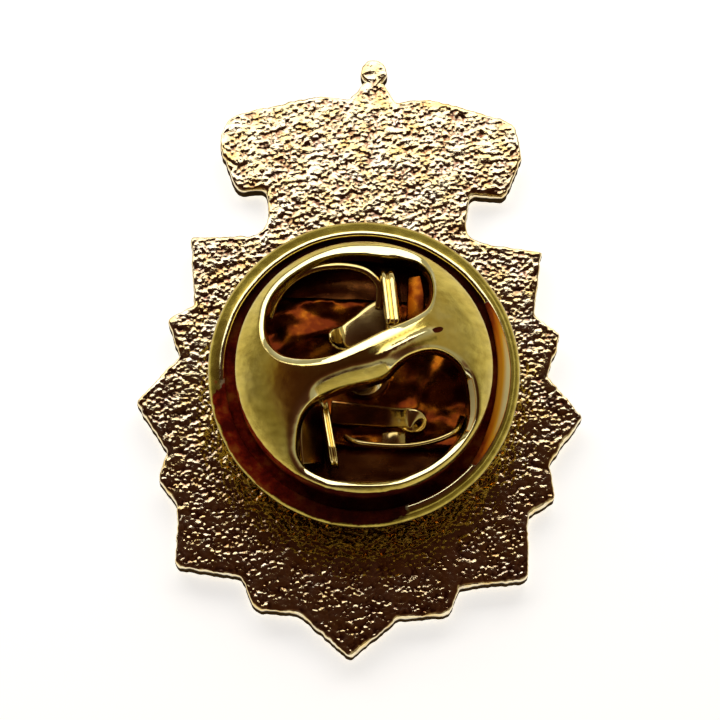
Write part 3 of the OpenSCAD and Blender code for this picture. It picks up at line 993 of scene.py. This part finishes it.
def doubled(points, faces, thickness):
    """The sheet's outer side and its inner side a thickness behind it, closed along the open edges."""
    triangles = np.array([t for f in faces for t in ([f] if len(f) == 3 else [f[:3], (f[0], f[2], f[3])])])
    normals = np.zeros_like(points)
    a, b, c = (points[triangles[:, k]] for k in range(3))
    for k in range(3):
        np.add.at(normals, triangles[:, k], np.cross(b - a, c - a))
    normals /= np.maximum(lengths(normals), 1e-12)[:, None]
    both = np.vstack([points, points - normals * np.reshape(thickness, (-1, 1))])
    count = len(points)
    sides = {(int(p), int(q)): 1 for f in faces for p, q in zip(f, (*f[1:], f[0]))}
    made = [tuple(f) for f in faces] + [tuple(int(v) + count for v in f[::-1]) for f in faces]
    made += [(q, p, p + count, q + count) for p, q in sides if (q, p) not in sides]
    return both, made


cap_points, cap_faces, cap_wear_and_highlight = drawn_cap()
cap_reach = np.hypot(cap_points[:, 0], cap_points[:, 1])
cap_thickness = np.interp(cap_reach, [3.9, 4.2, 4.74, 4.86], [0.2, 0.1, 0.1, 0.2])
cap_points, cap_faces = doubled(cap_points, cap_faces, cap_thickness)
cap = metal("clutch_cap_drawn", cap_points + (*clutch_at, clutch_z), cap_faces)
cap_reach, cap_wear_and_highlight = np.tile(cap_reach, 2), np.tile(cap_wear_and_highlight, 2)
cap_plan, cap_height = cap_points[:, :2], cap_points[:, 2]
# A dark coat is painted shade on the wall's foot and in the dimple beside the bridge, and a pale coat is a
# painted highlight on the lower opening's right brink.
cap_turn = np.degrees(np.arctan2(cap_plan[:, 1], cap_plan[:, 0])) % 360
film_top = np.interp(cap_turn, [0, 165, 195, 285, 310, 360], [1.15, 1.2, 1.75, 1.75, 1.3, 1.15])
wall_painted_shade = np.interp(cap_reach, [4.6, 4.68], [0, 1]) * clamped((film_top - cap_height) / 0.2 + 0.5)
from_dimple = (cap_plan - dimple) @ np.array([[0.91, -0.41], [0.41, 0.91]]) / (0.24, 0.12)
dimple_painted_shade = np.exp(-lengths(from_dimple) ** 4)
painted_highlight = clamped(cap_wear_and_highlight - 1)
mark_points(cap, "painted_light_coat", np.maximum(np.maximum(wall_painted_shade, dimple_painted_shade), 1.3 * painted_highlight))
mark_points(cap, "red", np.interp(cap_turn, red_turns, red_shares) * (1 - painted_highlight) + 2 * painted_highlight)
# The crease and the lips' flat edges are worn pale, partly as a painted highlight tint.
mark_points(cap, "wear_and_highlight", clamped(cap_wear_and_highlight))
# The sheet's inner side is brown as painted shade.
mark_points(cap, "inner", np.arange(len(cap_points)) >= len(cap_points) // 2)
# The satin is worn off towards the dome's top. A dull satin line beside the crease is painted shade between
# its highlight and the bridge's edge.
crease_line = smooth_line(crease, False, 6)
from_crease = lengths(cap_plan[:, None] - crease_line)
along_crease, from_crease = from_crease.argmin(axis=1), from_crease.min(axis=1)
beside = (cap_wear_and_highlight < 0.3) * (along_crease > 0) * (along_crease < len(crease_line) - 1)
beside = beside * np.exp(-((from_crease - 0.3) / 0.08) ** 2)
cap_satin = np.maximum(np.interp(cap_reach, [3.0, 4.0], [0.1, 0.85]), beside)
cap_satin = np.where(cap_wear_and_highlight < -0.5, -cap_wear_and_highlight, cap_satin * clamped(1 - cap_wear_and_highlight))
mark_points(cap, "satin", cap_satin)
cap.data.materials.append(pressed_sheet)
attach(cap, "clutch")
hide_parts("clutch_cap")


# The clutch's spring: one strip of thin brass on the floor, folded up into two arms beside the post. The
# foot of each arm carries a tongue that is curled at its end and bites on the post, and a thin loop.
spring_floor = clutch_z + sheet_t + 0.05
spring_t = 0.22


def ribbon(path, across, up, thick, wide):
    """A strip with rounded edges along a path. Across is the strip's width, up is away from its face."""
    count = 12
    a = np.arange(count) * 2 * math.pi / count
    side = np.sign(np.cos(a)) * np.abs(np.cos(a)) ** 0.35
    rise = np.sign(np.sin(a)) * np.abs(np.sin(a)) ** 0.6
    points = []
    for p, x, z, w in zip(path, across, up, wide):
        points.append(p + np.outer(side * w / 2, x) + np.outer(rise * thick / 2, z))
    last = (len(path) - 1) * count
    ends = [tuple(range(count))[::-1], tuple(range(last, last + count))]
    return np.vstack(points), ring_faces(len(path), count) + ends


def strip_along(marks, wide, thick, facing=(0, 0, 1)):
    """A strip along a smooth path, with its face turned to one direction."""
    path = smooth_line(marks, False, 8)
    along = np.gradient(path, axis=0)
    along /= lengths(along)[:, None]
    across = np.cross(along, facing)
    across /= lengths(across)[:, None]
    wide = np.interp(np.linspace(0, 1, len(path)), np.linspace(0, 1, len(wide)), wide)
    return ribbon(path, across, np.cross(across, along), thick, wide)


def joined(parts):
    """One mesh from parts of points, faces and how brown their painted shade makes them, as one number or one
    for each point.
    """
    points, faces, painted_shade_browns, start = [], [], [], 0
    for part_points, part_faces, brown in parts:
        points.append(part_points)
        faces += [tuple(int(v) + start for v in f) for f in part_faces]
        painted_shade_browns.append(np.broadcast_to(brown, len(part_points)))
        start += len(part_points)
    return np.vstack(points), faces, np.concatenate(painted_shade_browns)


def floor_strip():
    """The strip's middle, which lies crumpled on the base with its ends cut round and a hole for the post."""
    half_w = 2.75
    reach = 4.4
    side = math.degrees(math.asin(half_w / reach))
    right = arc(0, 0, reach, -side, side, 40)
    left = arc(0, 0, reach, 180 - side, 180 + side, 40)
    loop = evenly(np.vstack([right, left]), 0.12)
    clear_r = 0.95
    rng = np.random.default_rng(4)
    flat, faces = filled(loop, scattered(loop, 0.16, 0.05, rng), [circle((0, 0), clear_r, 48)])
    faces = faces[lengths(flat[faces].mean(axis=1)) > clear_r]
    away = clamped((lengths(flat) - 1.3) / 1.0)
    lift = away * (0.14 + 0.2 * bumps(flat, 1.1, 0.8, 20, 9.0) + 0.05 * bumps(flat, 0.5, 0.4, 20, 4.0))
    points = np.column_stack([flat, spring_t + np.clip(lift, 0, 0.4)])
    return doubled(points, [tuple(f) for f in faces], 0.16)


def upright_arm(turn, top_z, fall, start_x, lean, wide):
    """A fold of the strip: two ridges along its top, and an outer side that leans away from the post."""
    start_y = 1.3
    foot = [(0.42, 0.25), (0.36, 0.9)]
    ridges = [
        (0.29, -0.45), (0.24, -0.16), (0.2, -0.03), (0.13, 0), (0.03, -0.01), (-0.03, -0.08),
        (-0.06, -0.15), (-0.09, -0.08), (-0.13, -0.01), (-0.22, 0), (-0.28, -0.05), (-0.31, -0.18),
    ]
    inner = [
        (-0.31, 1.2), (-0.29, 0.95), (-0.15, 0.9), (-0.12, 1.1),
        (0.02, 1.2), (0.12, 1.1), (0.2, 0.6), (0.24, 0.25),
    ]
    rows = []
    for n, y in enumerate(np.linspace(start_y, 3.75, 12)):
        x = start_x - lean * (y - start_y)
        top = top_z - fall * (y - start_y) - 0.4 * max(0.0, (y - 3.3) / 0.45) ** 2 - 0.25 * (n == 0)
        section = np.array(foot + [(u, top + z) for u, z in ridges] + inner) * (wide, 1)
        rows.append(np.column_stack([x + section[:, 0], np.full(len(section), y), section[:, 1]]))
    count = len(rows[0])
    faces = [f[::-1] for f in ring_faces(len(rows), count)]
    last = (len(rows) - 1) * count
    faces += [tuple(range(count)), tuple(range(last, last + count))[::-1]]
    return np.vstack(rows) * (turn, turn, 1), faces


def tongue(turn, marks, widths, lean):
    points, faces = strip_along(marks, widths, 0.16, (0, lean * turn, 1))
    return points * (turn, turn, 1), faces


def spring_parts():
    """All of the spring: its floor, its two arms, the two tongues and loops, and the small bent panels."""
    upper_end = [
        (1.15, 1.95, 0.95), (0.6, 1.82, 1.0), (0.05, 1.5, 1.03), (-0.4, 1.28, 1.02), (-0.7, 1.14, 1.04),
        (-0.92, 1.08, 1.14), (-1.15, 1.02, 1.34), (-1.3, 0.98, 1.5),
    ]
    lower_end = [
        (1.15, 1.6, 0.7), (0.3, 1.65, 0.75), (-0.4, 1.7, 0.8), (-1.0, 1.75, 0.95), (-1.4, 1.8, 1.2),
        (-1.75, 1.85, 1.45), (-1.95, 1.9, 1.42), (-2.0, 1.95, 1.2), (-1.8, 1.95, 1.05), (-1.55, 1.9, 1.15),
    ]
    upper_loop = [
        (0.45, 2.3, 1.1), (0.48, 2.75, 1.25), (0.4, 3.15, 1.38), (0.05, 3.5, 1.45), (-0.4, 3.68, 1.48),
        (-1.1, 3.74, 1.45), (-2.0, 3.6, 1.35), (-2.8, 3.2, 1.1), (-3.35, 2.55, 0.85), (-3.6, 1.9, 0.5),
    ]
    lower_loop = [
        (-0.5, -2.6, 0.9), (-0.1, -2.8, 1.2), (0.6, -2.9, 1.4), (1.3, -2.92, 1.45), (2.0, -2.85, 1.45),
        (2.7, -2.65, 1.4), (3.2, -2.4, 1.3), (3.5, -2.1, 1.0), (3.65, -1.7, 0.5),
    ]
    panel = [(-1.72, -1.2, 0.9), (-1.8, -2.0, 1.0), (-1.8, -2.8, 1.0), (-1.72, -3.6, 0.9)]
    step = [(0.8, -2.6, 0.95), (1.2, -2.57, 1.1), (1.6, -2.53, 0.95)]
    arms = [upright_arm(1, 2.25, 0.2, 1.07, 0.145, 1.0), upright_arm(-1, 1.75, -0.16, 1.45, 0.21, 0.55)]
    upper = tongue(1, upper_end, [1.9, 1.6, 1.3, 1.05, 0.95, 0.8, 0.4], -0.05)
    lower = tongue(-1, lower_end, [0.9, 0.8, 0.75, 0.75, 0.75, 0.65], -0.22)
    curled = clamped((np.abs(lower[0][:, 0]) - 0.9) / 0.5)
    wing_points, wing_faces = strip_along(panel, [0.5, 0.7, 0.7, 0.5], 0.12, (0.3, 0.2, 0.9))
    # The last number of each part is how much brown painted shade it gets: most on the floor and low on the
    # arms, less on the tongues, loops and panels.
    return [
        (*floor_strip(), 1.0),
        *((*arm, 1 - clamped((arm[0][:, 2] - 1.2) / 0.5)) for arm in arms),
        (*upper, np.clip(0.3 + 0.3 * upper[0][:, 0], 0, 0.5)),
        (*lower, 0.9 - 0.8 * curled),
        (*strip_along(upper_loop, [0.3, 0.26, 0.24, 0.3, 0.35], 0.2), 0.2),
        (*strip_along(lower_loop, [0.2, 0.16, 0.14, 0.16, 0.3], 0.5), 0.15),
        (*strip_along(panel, [1.1, 1.2, 1.2, 1.1], 0.12, (0.55, 0.3, 0.75)), 0.45),
        (wing_points * (-1, -1, 1), wing_faces, 1.0),
        (*strip_along(step, [0.5, 0.55, 0.5], 0.12), 0.4),
    ]


def spring_gilding():
    """Rolled strip: bright on its raised edges, and dark brown as painted shade low in the clutch, on its
    floor.
    """
    material, tree = empty_finish("gilding on spring strip")
    place = in_millimetres(tree)
    patches = noise_node(tree, place, 1.3, 3)
    tone = ramp(tree, patches, [(0.3, (0.86, 0.66, 0.22)), (0.7, (0.94, 0.78, 0.36))])
    # Painted shade: low parts of the spring turn dark brown and duller.
    painted_shade_browns = [(0.4, (0.09, 0.014, 0.003)), (0.5, (0.16, 0.032, 0.004)), (0.62, (0.34, 0.10, 0.006))]
    low = marked(tree, "brown")
    polish = from_to(tree, patches, 0.06, 0.18)
    return finished(
        material,
        Base_Color=mixed(tree, low, tone, ramp(tree, patches, painted_shade_browns)),
        Metallic=1.0,
        Roughness=maths(tree, "ADD", polish, maths(tree, "MULTIPLY", low, 0.14)),
        Normal=bump(tree, noise_node(tree, place, 9.0, 3), 0.000003, 0.5),
    )


spring_points, spring_faces, spring_painted_shade = joined(spring_parts())
spring = metal("clutch_spring_bent", spring_points + (*clutch_at, spring_floor), spring_faces)
mark_points(spring, "brown", spring_painted_shade)
spring.data.materials.append(spring_gilding())
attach(spring, "clutch")
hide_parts("clutch_spring")


# The stage: white paper that the pin lies on with its front down. It is lit a little of itself, so that it
# stays pale round the pin.
floor_mesh = bpy.data.meshes.new("floor")
floor_w = 0.6
floor_z = -0.00002
corners = [(-floor_w, -floor_w), (floor_w, -floor_w), (floor_w, floor_w), (-floor_w, floor_w)]
floor_mesh.from_pydata([(x, y, floor_z) for x, y in corners], [], [(0, 1, 2, 3)])
floor = placed("floor", floor_mesh)
paper, _ = empty_finish("white paper")
finished(paper, Base_Color=(0.93, 0.93, 0.92), Roughness=0.9)
finished(paper, Emission_Color=(1.0, 1.0, 0.99), Emission_Strength=0.72)
floor_mesh.materials.append(paper)


# The light: a wide soft window above the crown and to the left, in a dim room with a darker ceiling. The
# window's place and size are in metres.
window_w = 0.09
window_h = 0.0362
window_radiance = 2.05
lamp = bpy.data.lights.new("window", "AREA")
lamp.shape = "RECTANGLE"
lamp.size, lamp.size_y = window_w, window_h
lamp.energy = window_radiance * math.pi * window_w * window_h
lamp.color = (1.0, 0.98, 0.96)
window = placed("window", lamp)
window.location = (-0.006, 0.0355, 0.050)
window.rotation_mode = "QUATERNION"
window.rotation_quaternion = (-window.location).to_track_quat("-Z", "Y")
window.visible_camera = False

world = bpy.data.worlds.new("room")
world.use_nodes = True
bpy.context.scene.world = world
room = world.node_tree
outlook = node(room, "ShaderNodeTexCoord").outputs["Generated"]


def facing_part(direction):
    """How far each part of the room lies towards a direction."""
    dot = node(room, "ShaderNodeVectorMath", operation="DOT_PRODUCT")
    dot.inputs[1].default_value = direction
    room.links.new(outlook, dot.inputs[0])
    return dot.outputs["Value"]


shade = ramp(room, facing_part((-0.16, -0.10, 0.98)), [
    (0.0, (0.50, 0.48, 0.42)), (0.1, (0.36, 0.33, 0.26)), (0.22, (0.34, 0.31, 0.22)),
    (0.46, (0.32, 0.29, 0.19)), (0.58, (0.15, 0.085, 0.05)), (0.70, (0.055, 0.02, 0.011)),
    (1.0, (0.03, 0.01, 0.005)),
])
lower_side = from_to(room, facing_part((-0.1, -0.995, 0.0)), 0.0, 1.0, 0.84, 0.94)
shade = mixed(room, lower_side, shade, (0.035, 0.010, 0.006))
room.links.new(shade, room.nodes["Background"].inputs["Color"])


# The camera: nearly overhead, 200 mm from the star's centre and tilted 11.5 degrees towards the lower tip,
# turned 2.4 degrees, with the star's centre a little under the middle of the picture.
camera_data = bpy.data.cameras.new("camera")
camera = placed("camera", camera_data)
elevation = math.radians(78.5)
roll = math.radians(2.4)
picture_px = 720
pixels_per_mm = 26.8
centre_below_px = 47.1
distance = 200.0
lift = math.atan(centre_below_px / pixels_per_mm / distance)
back_way = Vector((0, -math.cos(elevation), math.sin(elevation)))
up_way = Vector((0, math.sin(elevation), math.cos(elevation)))
right_way = Vector((1, 0, 0))
turned_up = up_way * math.cos(roll) - right_way * math.sin(roll)
turned_right = right_way * math.cos(roll) + up_way * math.sin(roll)
camera.location = (Vector((0, star_y, plate_t)) + back_way * distance) * 0.001
axes = (turned_right, turned_up * math.cos(lift) + back_way * math.sin(lift),
        back_way * math.cos(lift) - turned_up * math.sin(lift))
camera.rotation_mode = "QUATERNION"
camera.rotation_quaternion = Matrix(axes).transposed().to_quaternion()
camera_data.sensor_width = 36
camera_data.lens = camera_data.sensor_width * distance * pixels_per_mm / picture_px
camera_data.clip_start = 0.01
bpy.context.scene.camera = camera
bpy.context.scene.view_settings.view_transform = "Standard"
